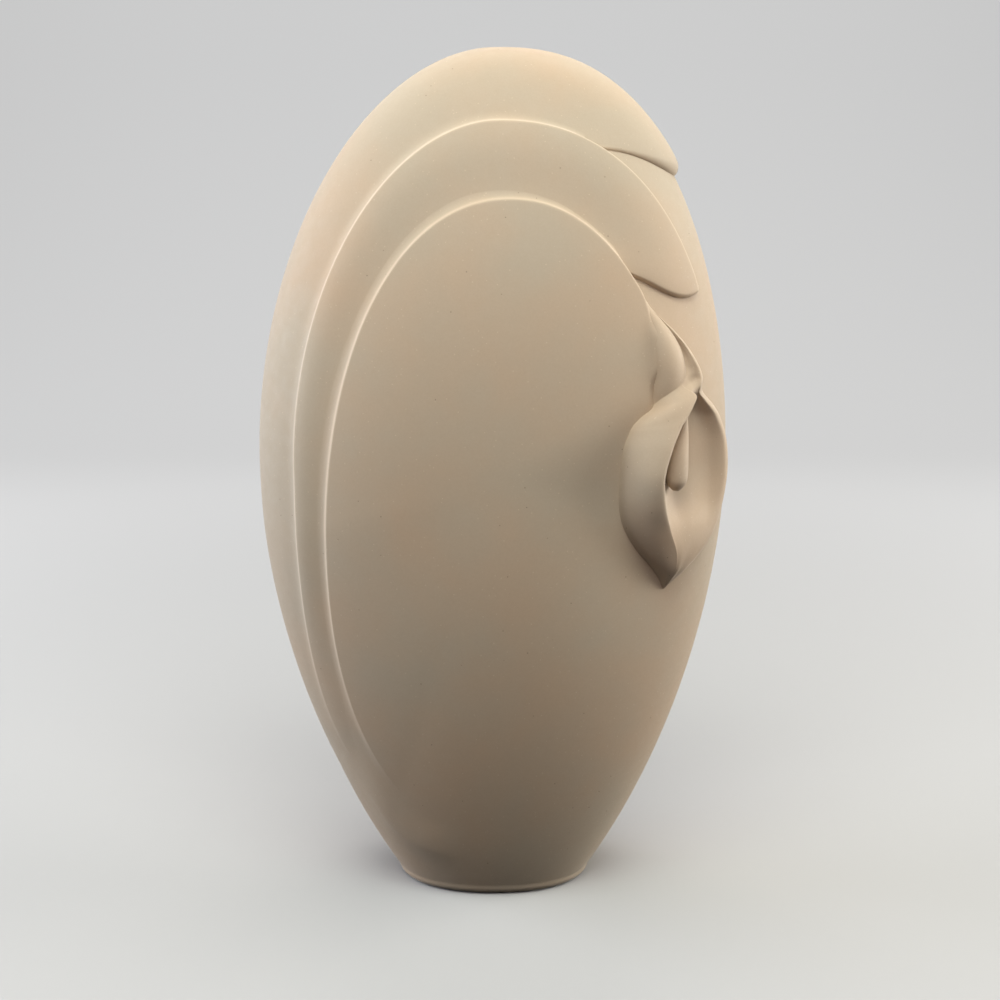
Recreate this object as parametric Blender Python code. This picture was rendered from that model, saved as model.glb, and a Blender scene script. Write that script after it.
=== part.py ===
"""A tall calla lily vase: a flattened oval body with three relief leaves and a calla lily on its face."""
import math

import bmesh
import bpy
import numpy as np

MM = 0.001

# Body core: an upright oval, wider than deep. Each side swells out to its reach and back as a superellipse.
CREST_Z = 377.5 * MM
WIDEST_Z = 200 * MM
CLOSING_DROP = 242 * MM  # how far below its widest level the oval would close if the foot didn't cut it
LEFT = dict(reach=103.5 * MM, upper=(1.87, 1.95), lower=(1.30, 2.00))
RIGHT = dict(reach=105.5 * MM, upper=(2.47, 2.02), lower=(1.34, 1.83))
DEPTH = dict(reach=62 * MM, upper=(2.0, 2.0), lower=(1.5, 2.5))
SECTION_POWER = 2.2
CORE_Y = 3.5 * MM  # sets the core back, so that the lily's front and the back are as far from the origin

# Shell, foot and mouth
WALL = 5.5 * MM
FOOT_ROUNDING = 4.5 * MM
FOOT_RING_WIDTH = 7 * MM
FOOT_RECESS = 2.5 * MM
FLOOR_Z = 9 * MM
FLOOR_ROUNDING = 7 * MM
MIDDLE_RING_INSETS = (16 * MM, 6 * MM, 1.2 * MM)  # rings on the flat middle of the recess and the floor
MOUTH_LEVEL = CREST_Z - 0.9 * MM  # where the slanting mouth plane crosses the middle of the vase
MOUTH_TILT = math.radians(40)  # the mouth faces up and back, so its rear lip is the lower one
MOUTH_TILT_STARTS_Z = 230 * MM

# Relief: ridges are ovals in front view, with a centre and set in from the core's sides, its crest and the ground
FACE_CENTRE_Z = WIDEST_Z
OUTER_RIDGE = dict(x=2.5 * MM, z=WIDEST_Z + 2.4 * MM, left=20.1 * MM, right=8.4 * MM, top=31.5 * MM,
                   bottom=35.4 * MM, powers=(1.92, 2.23, 3.13))
INNER_RIDGE = dict(x=6.9 * MM, z=WIDEST_Z - 36.1 * MM, left=33.2 * MM, right=21.8 * MM, top=62.9 * MM,
                   bottom=30.9 * MM, powers=(2.14, 2.14, 2.31))
NECK_INSET = 12 * MM  # how far the front leaf's edge draws back beside and below the lily's neck
CLEARANCE = 0.3 * MM
LEAF_BED = CLEARANCE + 0.1 * MM  # a leaf's underside over the core, with a little more for the facets of both
FEATHER = 0.3 * MM  # thinnest edge of a leaf
RIDGE_LIFT = 4.4 * MM
VALLEY_LIFT = 1.5 * MM
RIM_LIFT = 3.5 * MM
PANEL_LIFT = 3.6 * MM
TIP_LIFT = 4.6 * MM
MIDDLE_TIP_LIFT = 2.7 * MM
STEP_WIDTH = 3 * MM
EDGE_ROUNDING = 2.5 * MM
LEAF_WRAP = math.radians(20)  # how far the outer leaf goes round to the back
LIP_WRAP = math.radians(-3)  # the same at the mouth, where it stays in front of the lip
MOUTH_CLOCK, LIP_END_CLOCK = math.radians(4), math.radians(32)

# Clock angles about the face centre, counted up from the vase's right side as seen from the front
TAIL_CLOCK = math.radians(246)
PANEL_TAIL_CLOCK = math.radians(254)
FADE_CLOCK = math.radians(196)
PANEL_RISE_CLOCKS = math.radians(-20), math.radians(35)  # where the front leaf rises out of the body on the right
NECK_CLOCKS = math.radians(24), math.radians(53)  # from the full neck inset to none, above the lily
BELOW_LILY_CLOCKS = math.radians(-80), math.radians(-30)  # from none to the full neck inset, below it
OUTER_TIP = dict(clock=math.radians(57.8), spread=math.radians(16), power=2.6)
MIDDLE_TIP = dict(clock=math.radians(40.8), spread=math.radians(18), power=1.8)

# Lily: heights at the section's right side, turns in degrees and lifts off the core. Heights and lifts are in
# the lily's own millimetres, which grow with the vase.
LILY_UNIT = CREST_Z / 377.5
# Each row has the height, the left seat's turn, the fold's turn and lift, the throat floor's, the right rim's,
# how far the section drops for each degree to the left, and how full its left side is.
LILY_SECTIONS = (
    (260.5, 49.5, 48.6, 1.4, 47.4, 3.0, 45.8, 4.4, 0.0, 0.0),
    (251.0, 50.0, 47.4, 2.8, 42.8, 4.6, 40.8, 6.8, 0.1, 0.0),
    (243.6, 48.8, 47.3, 3.0, 42.4, 5.2, 39.2, 8.4, 0.4, 0.0),
    (239.8, 55.2, 46.5, 7.4, 42.6, 8.2, 38.8, 9.6, 0.6, 0.6),
    (236.8, 57.8, 44.4, 12.2, 41.8, 10.8, 38.2, 10.2, 0.6, 1.0),
    (230.5, 60.2, 46.0, 13.6, 40.6, 8.8, 36.4, 10.2, 0.42, 0.7),
    (223.5, 61.5, 48.9, 15.2, 39.6, 4.6, 33.8, 10.0, 0.22, 0.3),
    (214.0, 62.1, 52.3, 17.0, 40.2, 4.2, 30.6, 10.0, 0.06, 0.1),
    (202.0, 62.4, 54.6, 18.5, 40.0, 4.0, 29.7, 10.0, 0.0, 0.0),
    (190.0, 62.2, 54.2, 17.0, 41.0, 5.0, 30.6, 9.7, 0.0, 0.0),
    (179.0, 60.4, 51.5, 14.5, 42.3, 6.3, 32.8, 9.0, 0.0, 0.0),
    (169.0, 56.2, 48.2, 11.2, 43.2, 7.3, 36.5, 8.3, 0.0, 0.0),
    (160.5, 51.0, 46.3, 9.0, 44.3, 8.2, 41.0, 7.4, 0.0, 0.0),
    (155.0, 47.8, 45.6, 4.6, 44.6, 4.6, 43.0, 4.2, 0.0, 0.0),
    (150.5, 46.0, 45.3, 1.0, 44.8, 1.0, 44.0, 0.9, 0.0, 0.0),
)
CROSSING_TURN = 41  # where the sections start to drop
LILY_ROOT = -3.0  # how deep the spathe's back starts, before the core is cut away from it

# Rods: height, turn, lift and radius along the path, in the lily's millimetres and degrees
STEM_PATH = ((273.5, 52.6, 1.0, 1.5), (269.5, 51.8, 1.6, 2.8), (264.5, 50.8, 2.0, 4.8), (257, 48.4, 2.2, 7.2),
             (248, 46.6, 2.4, 8.8), (239, 46.9, 2.2, 8.6), (231, 47.8, 0.8, 7.4), (226, 48.6, -0.6, 5.4))
STEM_FLATNESS = 0.72
SPADIX_PATH = ((231, 45.4, 8.7, 1.6), (222, 46.3, 8.4, 2.8), (210, 48.0, 9.4, 4.2), (200, 48.7, 10.0, 4.6),
               (196, 48.8, 10.0, 3.8), (193.5, 48.8, 10.0, 1.6))

BODY_COLOUR = (0.60, 0.50, 0.43)
LEAF_COLOUR = (0.62, 0.52, 0.45)
LILY_COLOUR = (0.63, 0.53, 0.46)
SPADIX_COLOUR = (0.58, 0.48, 0.41)

# Mesh density
BODY_COLUMNS = 50
LEAF_COLUMNS = 72
LEAF_STATIONS = 64


def ease(value, start, end):
    """0 at start, 1 at end, with a smooth run between."""
    share = np.clip((value - start) / (end - start), 0, 1)
    return share * share * (3 - 2 * share)


def superellipse(share, powers):
    across, along = powers
    return (1 - np.clip(share, 0, 1) ** along) ** (1 / across)


def swell(side, z):
    """How far one side of the core stands out at height z."""
    upper = superellipse((z - WIDEST_Z) / (CREST_Z - WIDEST_Z), side["upper"])
    lower = superellipse((WIDEST_Z - z) / CLOSING_DROP, side["lower"])
    return side["reach"] * np.where(z >= WIDEST_Z, upper, lower)


def section(z):
    """Centre, half width and half depth of the core's oval at height z."""
    left, right = swell(LEFT, z), swell(RIGHT, z)
    return (right - left) / 2, (right + left) / 2, swell(DEPTH, z)


def oval_point(turn, z, inset=0.0):
    """A point of the core's section at height z. Turn 0 is the vase's right side and 90 degrees its front."""
    centre, width, depth = section(z)
    across = np.sign(np.cos(turn)) * np.abs(np.cos(turn)) ** (2 / SECTION_POWER)
    along = np.sign(np.sin(turn)) * np.abs(np.sin(turn)) ** (2 / SECTION_POWER)
    return np.stack([centre + (width - inset) * across, CORE_Y - (depth - inset) * along, z + 0 * turn], axis=-1)


def height_on_plane(turn, level, slope):
    """Where the core's meridian at this turn meets the plane that falls backwards by slope from level."""
    rise = CREST_Z - WIDEST_Z
    reach = slope * DEPTH["reach"] * np.sign(np.sin(turn)) * np.abs(np.sin(turn)) ** (2 / SECTION_POWER)
    angle = np.arctan2(reach, rise) + np.arcsin((level - WIDEST_Z) / np.hypot(rise, reach))
    return WIDEST_Z + rise * np.sin(angle)


def face_point(x, z, behind):
    """The core's point at x and z in front view, on its front or, where behind is true, on its back."""
    centre, width, depth = section(z)
    across = np.clip(np.abs(x - centre) / np.maximum(width, 1e-9), 0, 1)
    y = depth * (1 - across ** SECTION_POWER) ** (1 / SECTION_POWER)
    return np.stack([x, CORE_Y + np.where(behind, y, -y), z], axis=-1)


def outward(grid, closed):
    """Unit normals of a grid of points, pointing away from the core's axis."""
    down = np.gradient(grid, axis=0)
    if closed:
        along = np.roll(grid, -1, axis=1) - np.roll(grid, 1, axis=1)
    else:
        along = np.gradient(grid, axis=1)
    normal = np.cross(down, along)
    normal /= np.maximum(np.linalg.norm(normal, axis=-1, keepdims=True), 1e-12)
    away = grid - np.array([0, CORE_Y, WIDEST_Z])
    return normal * np.sign((normal * away).sum(axis=-1, keepdims=True))


def new_object(name, points, faces, colour, smooth_angle=40):
    """A mesh object with outward faces, smooth shading and its own material."""
    mesh = bpy.data.meshes.new(name)
    mesh.from_pydata([tuple(float(value) for value in point) for point in points], [], faces)
    face_outwards(mesh)
    mesh.materials.append(ceramic(name, colour))
    obj = bpy.data.objects.new(name, mesh)
    bpy.context.scene.collection.objects.link(obj)
    shade_round(obj, smooth_angle)
    return obj


def face_outwards(mesh):
    """Turns all faces of a closed mesh the same way, outwards."""
    work = bmesh.new()
    work.from_mesh(mesh)
    bmesh.ops.recalc_face_normals(work, faces=work.faces)
    if work.calc_volume(signed=True) < 0:
        bmesh.ops.reverse_faces(work, faces=work.faces)
    work.to_mesh(mesh)
    work.free()


def shade_round(obj, smooth_angle):
    bpy.ops.object.select_all(action="DESELECT")
    bpy.context.view_layer.objects.active = obj
    obj.select_set(True)
    bpy.ops.object.shade_smooth_by_angle(angle=math.radians(smooth_angle))
    obj.select_set(False)


def ceramic(name, colour, roughness=0.62):
    material = bpy.data.materials.new(name + "_ceramic")
    material.use_nodes = True
    shader = material.node_tree.nodes["Principled BSDF"]
    shader.inputs["Base Color"].default_value = (*colour, 1)
    shader.inputs["Roughness"].default_value = roughness
    shader.inputs["Metallic"].default_value = 0
    return material


def tube_faces(rings, columns, first=0):
    """Quads between closed rings of points that follow one another."""
    return [
        (
            first + ring * columns + column,
            first + ring * columns + (column + 1) % columns,
            first + (ring + 1) * columns + (column + 1) % columns,
            first + (ring + 1) * columns + column,
        )
        for ring in range(rings - 1)
        for column in range(columns)
    ]


def capped_tube(name, rings, colour):
    """A closed solid from a run of closed rings, each end closed by a fan to its middle."""
    rings = np.asarray(rings)
    count, columns = rings.shape[:2]
    points = list(rings.reshape(-1, 3)) + [rings[0].mean(axis=0), rings[-1].mean(axis=0)]
    faces = tube_faces(count, columns)
    for middle, start in ((count * columns, 0), (count * columns + 1, (count - 1) * columns)):
        faces += [(middle, start + column, start + (column + 1) % columns) for column in range(columns)]
    return new_object(name, points, faces, colour)


def core_normal(turn, z):
    """The core's unit normal at this turn and height."""
    nudge_turn, nudge_z = 1e-4, 1e-5
    along = oval_point(turn + nudge_turn, z) - oval_point(turn - nudge_turn, z)
    upward = oval_point(turn, z + nudge_z) - oval_point(turn, z - nudge_z)
    normal = np.cross(along, upward)
    normal /= np.linalg.norm(normal, axis=-1, keepdims=True)
    outside = np.stack([np.cos(turn), -np.sin(turn), 0 * turn], axis=-1)
    return normal * np.sign((normal * outside).sum(axis=-1, keepdims=True))


def lifted_point(turn, z, lift):
    """The point that stands lift outside the core at this turn and height."""
    turn, z, lift = (np.asarray(value, float) for value in (turn, z, lift))
    return oval_point(turn, z) + core_normal(turn, z) * lift[..., None]


def run_through(rows, places):
    """A smooth cubic run through rows of values, sampled at places counted in rows."""
    rows = np.asarray(rows, float)
    slopes = np.gradient(rows, axis=0)
    before = np.clip(np.floor(places).astype(int), 0, len(rows) - 2)
    share = (places - before)[:, None]
    start, end = rows[before], rows[before + 1]
    leave, arrive = slopes[before], slopes[before + 1]
    return (
        start * (1 + 2 * share) * (1 - share) ** 2
        + leave * share * (1 - share) ** 2
        + end * share ** 2 * (3 - 2 * share)
        - arrive * share ** 2 * (1 - share)
    )


# Body

def body_levels():
    """Levels of the outer rings above the foot's rounding, closer together where the core turns over."""
    low = np.linspace(FOOT_ROUNDING, WIDEST_Z, 12)
    top = math.asin((MOUTH_LEVEL - WIDEST_Z) / (CREST_Z - WIDEST_Z))
    high = WIDEST_Z + (CREST_Z - WIDEST_Z) * np.sin(np.linspace(0, top, 13))
    return np.concatenate([low, high[1:]])


def body_rings(turns, levels):
    """The core's outer rings. They tilt more and more, up to the mouth's own plane."""
    rings = []
    for level in levels:
        slope = math.tan(MOUTH_TILT) * float(ease(level, MOUTH_TILT_STARTS_Z, MOUTH_LEVEL))
        z = height_on_plane(turns, level, slope) if slope else np.full_like(turns, level)
        rings.append(oval_point(turns, z))
    return np.array(rings)


def rounded_lip(outer, normals, steps=5):
    """Rings that round the lip over, from the outer wall to the inner one."""
    normal = normals[-1]
    upward = np.broadcast_to([0, math.sin(MOUTH_TILT), math.cos(MOUTH_TILT)], normal.shape)
    upward = upward - normal * (upward * normal).sum(axis=-1, keepdims=True)
    upward /= np.linalg.norm(upward, axis=-1, keepdims=True)
    middle = outer[-1] - normal * WALL / 2
    angles = np.linspace(0, math.pi, steps + 2)[1:-1]
    return [middle + WALL / 2 * (normal * math.cos(angle) + upward * math.sin(angle)) for angle in angles]


def foot_rings(turns):
    """Rings from the middle of the recessed underside out to the foot ring and up its rounded corner."""
    flat = FOOT_ROUNDING + FOOT_RING_WIDTH
    recess = [oval_ring(turns, FOOT_RECESS, flat + inset) for inset in MIDDLE_RING_INSETS]
    recess.append(oval_ring(turns, FOOT_RECESS * 0.6, flat + CLEARANCE))
    flat_ring = [oval_ring(turns, 0, flat * 0.96), oval_ring(turns, 0, FOOT_ROUNDING)]
    corner = [
        oval_ring(turns, FOOT_ROUNDING * (1 - math.cos(angle)), FOOT_ROUNDING * (1 - math.sin(angle)))
        for angle in np.radians([22.5, 45, 67.5])
    ]
    return recess + flat_ring + corner


def oval_ring(turns, z, inset):
    """A ring at height z whose outline is the foot's, drawn in by inset."""
    ring = oval_point(turns, np.full_like(turns, FOOT_ROUNDING), inset)
    ring[:, 2] = z
    return ring


def floor_rings(turns):
    """Rings of the inside from where its wall meets the floor's rounding to near the floor's middle."""
    rings = []
    for angle in np.radians([25, 50, 75, 90]):
        inset = WALL + FLOOR_ROUNDING * (1 - math.cos(angle))
        z = FLOOR_Z + FLOOR_ROUNDING * (1 - math.sin(angle))
        ring = oval_point(turns, np.full_like(turns, FLOOR_Z + FLOOR_ROUNDING), inset)
        ring[:, 2] = z
        rings.append(ring)
    last = oval_point(turns, np.full_like(turns, FLOOR_Z + FLOOR_ROUNDING), WALL + 3 * FLOOR_ROUNDING)
    last[:, 2] = FLOOR_Z
    return rings + [last]


def make_body():
    turns = np.linspace(0, 2 * math.pi, BODY_COLUMNS, endpoint=False)
    levels = body_levels()
    outer = body_rings(turns, levels)
    normals = outward(outer, closed=True)
    inner = outer - normals * WALL
    inside = [ring for ring, level in zip(inner, levels) if level > FLOOR_Z + 1.6 * FLOOR_ROUNDING]
    downwards = inside[::-1][:3] + inside[::-1][3::2]
    rings = foot_rings(turns) + list(outer) + rounded_lip(outer, normals) + downwards + floor_rings(turns)
    return capped_tube("vessel_body", rings, BODY_COLOUR)


# Relief leaves

def oval_gauge(oval, x, z):
    """Below 1 inside the oval, 1 on it, above 1 outside."""
    across, along = x - oval["x"], z - oval["z"]
    upper_left, right, lower_left = oval["powers"]
    to_left = LEFT["reach"] + oval["x"] - oval["left"]
    to_right = RIGHT["reach"] - oval["x"] - oval["right"]
    half_width = np.where(across < 0, to_left, to_right)
    half_height = np.where(along > 0, CREST_Z - oval["top"] - oval["z"], oval["z"] - oval["bottom"])
    power = np.where(across >= 0, right, np.where(along > 0, upper_left, lower_left))
    return (np.abs(across) / half_width) ** power + (np.abs(along) / half_height) ** power


def rim_gauge(x, z):
    """The same for the core's outline in front view."""
    centre, width, _ = section(np.clip(z, 0, CREST_Z - 1e-6))
    return np.where(z >= CREST_Z - 1e-6, 2, np.abs(x - centre) / np.maximum(width, 1e-9))


def distance_to(gauge, clock):
    """How far from the face centre a ray at this clock angle meets the gauge's outline."""
    near, far = np.zeros_like(clock), np.full_like(clock, 0.3)
    for _ in range(40):
        middle = (near + far) / 2
        inside = gauge(middle * np.cos(clock), FACE_CENTRE_Z + middle * np.sin(clock)) < 1
        near, far = np.where(inside, middle, near), np.where(inside, far, middle)
    return near


def ridge_distance(oval, clock):
    return distance_to(lambda x, z: oval_gauge(oval, x, z), clock)


def panel_distance(clock):
    """The front leaf's edge: the inner ridge's oval, drawn back beside and below the lily's neck."""
    drawn = (1 - ease(clock, *NECK_CLOCKS)) * ease(clock, *BELOW_LILY_CLOCKS)
    return ridge_distance(INNER_RIDGE, clock) - NECK_INSET * drawn


def rim_distance(clock):
    return distance_to(rim_gauge, clock)


def on_face(clock, distance):
    return face_point(distance * np.cos(clock), FACE_CENTRE_Z + distance * np.sin(clock), False)


def fade(clock, tail=TAIL_CLOCK):
    """1 along most of a leaf and 0 at its tail."""
    return 1 - np.clip((clock - FADE_CLOCK) / (tail - FADE_CLOCK), 0, 1) ** 1.4


def faded(lift, clock):
    thinnest = LEAF_BED + FEATHER
    return thinnest + (lift - thinnest) * fade(clock)


def shoulder(distance, radius):
    """A quarter round: 0 at the edge, 1 from radius inwards."""
    return np.sqrt(1 - (1 - np.clip(distance / radius, 0, 1)) ** 2)


def leaf_solid(name, base, lifts, colour):
    """A closed solid between the leaf's bed and the lifts over a grid of core points."""
    normals = outward(base, closed=False)
    over = base + normals * lifts[..., None]
    under = base + normals * LEAF_BED
    rows, columns = base.shape[:2]
    top = lambda row, column: row * columns + column
    bottom = lambda row, column: rows * columns + row * columns + column
    faces = []
    for row in range(rows - 1):
        for column in range(columns - 1):
            corners = ((row, column), (row, column + 1), (row + 1, column + 1), (row + 1, column))
            faces.append(tuple(top(*corner) for corner in corners))
            faces.append(tuple(bottom(*corner) for corner in reversed(corners)))
    rim = [(0, column) for column in range(columns)] + [(row, columns - 1) for row in range(1, rows)]
    rim += [(rows - 1, column) for column in range(columns - 2, -1, -1)]
    rim += [(row, 0) for row in range(rows - 2, 0, -1)]
    for first, second in zip(rim, rim[1:] + rim[:1]):
        faces.append((top(*first), bottom(*first), bottom(*second), top(*second)))
    points = np.concatenate([over.reshape(-1, 3), under.reshape(-1, 3)])
    return new_object(name, points, faces, colour)


def leaf_clocks(tip, across):
    """Clock angles along a leaf for each place across it, from its tail to its slanting tip."""
    along = np.linspace(0, 1, LEAF_STATIONS)
    end_rows = np.radians(np.array([2.4, 1.1, 0.45, 0.12, 0]))
    end = tip["clock"] + tip["spread"] * (1 - np.clip(across, 0, 1)) ** tip["power"]
    start = np.full_like(across, TAIL_CLOCK)
    body = start[:, None] + (end + math.radians(4))[:, None] * along - start[:, None] * along
    return np.concatenate([body, end[:, None] + end_rows], axis=1), end


def make_outer_leaf():
    """The leaf that forms the vase's rim, from the outer ridge round its edge to the back."""
    across = np.concatenate([np.linspace(0, 0.75, 7), np.linspace(0.88, 1.3, 5), [1.38, 1.42, 1.44]])
    clock, end = leaf_clocks(OUTER_TIP, across)
    inner = ridge_distance(OUTER_RIDGE, clock) + STEP_WIDTH + CLEARANCE
    rim = rim_distance(clock)
    inner = np.minimum(inner, rim - EDGE_ROUNDING)
    start = np.arccos(inner / rim)
    wrap = wrap_angle(clock)
    share = np.clip(across[:, None], 0, 1)
    beyond = (across[:, None] - 1).clip(0) / (across[-1] - 1)
    angle = start * (1 - share) - wrap * beyond
    distance = rim * np.cos(angle)
    base = face_point(distance * np.cos(clock), FACE_CENTRE_Z + distance * np.sin(clock), angle < 0)
    tip_share = 1 - ease(clock, OUTER_TIP["clock"], OUTER_TIP["clock"] + math.radians(40))
    full = RIM_LIFT + (TIP_LIFT - RIM_LIFT) * tip_share
    lift = VALLEY_LIFT + (full - VALLEY_LIFT) * ease(share + 0 * clock, 0, 1) ** (1 + 0.8 * tip_share)
    to_tip = (clock - end[:, None]) * distance
    to_back = (wrap - np.abs(np.minimum(angle, 0))) * DEPTH["reach"]
    edge = shoulder(to_tip, EDGE_ROUNDING * (1 + share)) * shoulder(np.where(angle < 0, to_back, 1), EDGE_ROUNDING)
    lift = VALLEY_LIFT * 0.6 + (lift - VALLEY_LIFT * 0.6) * edge
    return leaf_solid("outer_leaf", base, faded(lift, clock), LEAF_COLOUR)


def wrap_angle(clock):
    """How far round the rim the outer leaf goes. Beside the mouth it stays in front of the lip."""
    off_mouth = np.abs(clock - math.pi / 2)
    return LIP_WRAP + (LEAF_WRAP - LIP_WRAP) * ease(off_mouth, MOUTH_CLOCK, LIP_END_CLOCK)


def make_middle_leaf():
    """The leaf between the two ridges, with its free tip over the recessed body."""
    inward = np.concatenate([[0, 0.4, 0.8, 1.0], np.linspace(1.25, 2, 7)])
    across = np.clip(2 - inward, 0, 1)
    clock, end = leaf_clocks(MIDDLE_TIP, across)
    ridge = ridge_distance(OUTER_RIDGE, clock)
    inner = panel_distance(clock) + STEP_WIDTH + CLEARANCE
    step = np.clip(1 - inward[:, None], 0, 1)
    share = np.clip(inward[:, None] - 1, 0, 1)
    distance = ridge + STEP_WIDTH * step - (ridge - inner) * share
    base = on_face(clock, distance)
    tip_share = 1 - ease(clock, MIDDLE_TIP["clock"], MIDDLE_TIP["clock"] + math.radians(35))
    crest = RIDGE_LIFT + (MIDDLE_TIP_LIFT - RIDGE_LIFT) * tip_share
    lift = VALLEY_LIFT + (crest - VALLEY_LIFT) * (1 - step) ** 1.4 * (1 - ease(share + 0 * clock, 0, 1.0))
    lift = lift + (crest - VALLEY_LIFT) * 0.75 * tip_share * share
    edge = shoulder((clock - end[:, None]) * distance, EDGE_ROUNDING)
    lift = VALLEY_LIFT * 0.6 + (lift - VALLEY_LIFT * 0.6) * edge
    return leaf_solid("middle_leaf", base, faded(lift, clock), LEAF_COLOUR)


def inner_leaf_lifts(clock, share, step):
    """Lift of the front leaf: a crest at its ridge on the upper left, a feather edge on the lower right."""
    thinnest = LEAF_BED + FEATHER
    raised = np.where(clock > math.pi / 2, fade(clock, PANEL_TAIL_CLOCK), ease(clock, *PANEL_RISE_CLOCKS))
    crest = thinnest + (RIDGE_LIFT - thinnest) * raised
    foot = thinnest + (VALLEY_LIFT - thinnest) * raised
    inside = PANEL_LIFT + (crest - PANEL_LIFT) * ease(share, 0.1, 1.0)
    return np.where(step > 0, foot + (crest - foot) * (1 - step) ** 1.4, inside)


def make_inner_leaf(name="inner_leaf", grow=0.0):
    """The broad front leaf inside the inner ridge. Its lower right dissolves into the body."""
    clock = np.linspace(PANEL_TAIL_CLOCK - 2 * math.pi, PANEL_TAIL_CLOCK, LEAF_COLUMNS, endpoint=False)[None, :]
    place = np.array([0.12, 0.3, 0.46, 0.6, 0.72, 0.82, 0.9, 0.96, 1.0, 1.25, 1.6, 2.0])[:, None]
    share = np.clip(place, 0, 1) + 0 * clock
    step = np.clip(place - 1, 0, 1) + 0 * clock
    distance = panel_distance(clock) * share + (STEP_WIDTH + grow) * step
    base = on_face(clock + 0 * place, distance)
    normals = outward(base, closed=True)
    over = base + normals * (inner_leaf_lifts(clock + 0 * place, share, step) + grow)[..., None]
    under = base + normals * (LEAF_BED - grow * 4)
    return capped_tube(name, np.concatenate([under, over[::-1]]), LEAF_COLOUR)


# Lily

def lily_sections(stations, samples, grow=0.0):
    """Closed rings of the lily's spathe, from its stem end down to its tip."""
    places = np.linspace(0, len(LILY_SECTIONS) - 1, stations)
    rings = []
    for section_values in run_through(LILY_SECTIONS, places):
        z, seat, fold, fold_lift, floor, floor_lift, rim, rim_lift, drop, fullness = section_values
        flank, brow = seat + 0.2 * (fold - seat), seat + 0.55 * (fold - seat)
        wall, bed = fold + 0.1 * (floor - fold), fold + 0.5 * (floor - fold)
        face = floor + 0.55 * (rim - floor)
        far_seat = rim - min(6.5, 0.28 * abs(seat - rim))
        guides = [
            (seat, 0), (flank, (0.42 + 0.25 * fullness) * fold_lift), (brow, (0.83 + 0.13 * fullness) * fold_lift),
            (fold, fold_lift), (wall, floor_lift + 0.5 * (fold_lift - floor_lift)), (bed, floor_lift + 0.3),
            (floor, floor_lift), (face, floor_lift + 0.25 * (rim_lift - floor_lift)), (rim, rim_lift),
            (rim + 0.6 * (far_seat - rim), 0.7 * rim_lift), (far_seat, 0),
        ]
        front = run_through(guides, np.linspace(0, len(guides) - 1, samples))
        back = [(far_seat, LILY_ROOT), ((seat + far_seat) / 2, LILY_ROOT), (seat, LILY_ROOT)]
        section_points = np.concatenate([front, back])
        height = z - drop * np.clip(section_points[:, 0] - CROSSING_TURN, 0, None)
        lifts = section_points[:, 1] * LILY_UNIT + grow
        rings.append(lifted_point(np.radians(section_points[:, 0]), height * LILY_UNIT, lifts))
    return rings


def make_spathe():
    return capped_tube("lily_spathe", lily_sections(28, 23), LILY_COLOUR)


def tapered_rod(name, path, colour, flatness=1.0, grow=0.0):
    """A rod along a smooth path of (height, turn, lift, radius), closed at both ends."""
    rows = run_through(path, np.linspace(0, len(path) - 1, 3 * len(path)))
    turns, heights = np.radians(rows[:, 1]), rows[:, 0] * LILY_UNIT
    middle = lifted_point(turns, heights, rows[:, 2] * LILY_UNIT)
    forward = np.gradient(middle, axis=0)
    forward /= np.linalg.norm(forward, axis=1, keepdims=True)
    side = np.cross(forward, core_normal(turns, heights))
    side /= np.linalg.norm(side, axis=1, keepdims=True)
    front = np.cross(side, forward)
    width = (rows[:, 3] * LILY_UNIT + grow)[:, None, None]
    height = (rows[:, 3] * LILY_UNIT * flatness + grow)[:, None, None]
    angles = np.linspace(0, 2 * math.pi, 16, endpoint=False)[None, :, None]
    rings = middle[:, None] + width * side[:, None] * np.cos(angles) + height * front[:, None] * np.sin(angles)
    return capped_tube(name, rings, colour)


# Assembly

def grown_core():
    """The core with the clearance added, as a cutter that seats the lily on it."""
    turns = np.linspace(0, 2 * math.pi, BODY_COLUMNS, endpoint=False)
    levels = body_levels()
    outer = body_rings(turns, levels)
    return capped_tube("core_cutter", outer + outward(outer, closed=True) * CLEARANCE, BODY_COLOUR)


def cut(target, cutters):
    """Cuts the cutters out of the target in one go. They stay in a collection of their own, out of the render."""
    collection = bpy.data.collections.new(target.name + "_cutters")
    bpy.context.scene.collection.children.link(collection)
    for cutter in cutters:
        if cutter.name in bpy.context.scene.collection.objects:
            bpy.context.scene.collection.objects.unlink(cutter)
        collection.objects.link(cutter)
        cutter.hide_render = True
        cutter.display_type = "WIRE"
    modifier = target.modifiers.new("seats", "BOOLEAN")
    modifier.operation = "DIFFERENCE"
    modifier.solver = "EXACT"
    modifier.operand_type = "COLLECTION"
    modifier.collection = collection


def clear_scene():
    for obj in list(bpy.data.objects):
        bpy.data.objects.remove(obj)


def main():
    clear_scene()
    make_body()
    make_outer_leaf()
    make_middle_leaf()
    make_inner_leaf()
    spathe = make_spathe()
    stem = tapered_rod("lily_stem", STEM_PATH, LILY_COLOUR, STEM_FLATNESS)
    spadix = tapered_rod("lily_spadix", SPADIX_PATH, SPADIX_COLOUR)

    core = grown_core()
    leaf = make_inner_leaf("leaf_cutter", CLEARANCE)
    stem_seat = tapered_rod("stem_cutter", STEM_PATH, LILY_COLOUR, STEM_FLATNESS, CLEARANCE)
    spadix_seat = tapered_rod("spadix_cutter", SPADIX_PATH, SPADIX_COLOUR, 1.0, CLEARANCE)
    cut(spathe, (core, leaf, stem_seat, spadix_seat))
    cut(stem, (core, leaf))


main()
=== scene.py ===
"""Looks of the calla lily vase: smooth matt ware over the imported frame, a pale studio and the camera."""
import math

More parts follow.
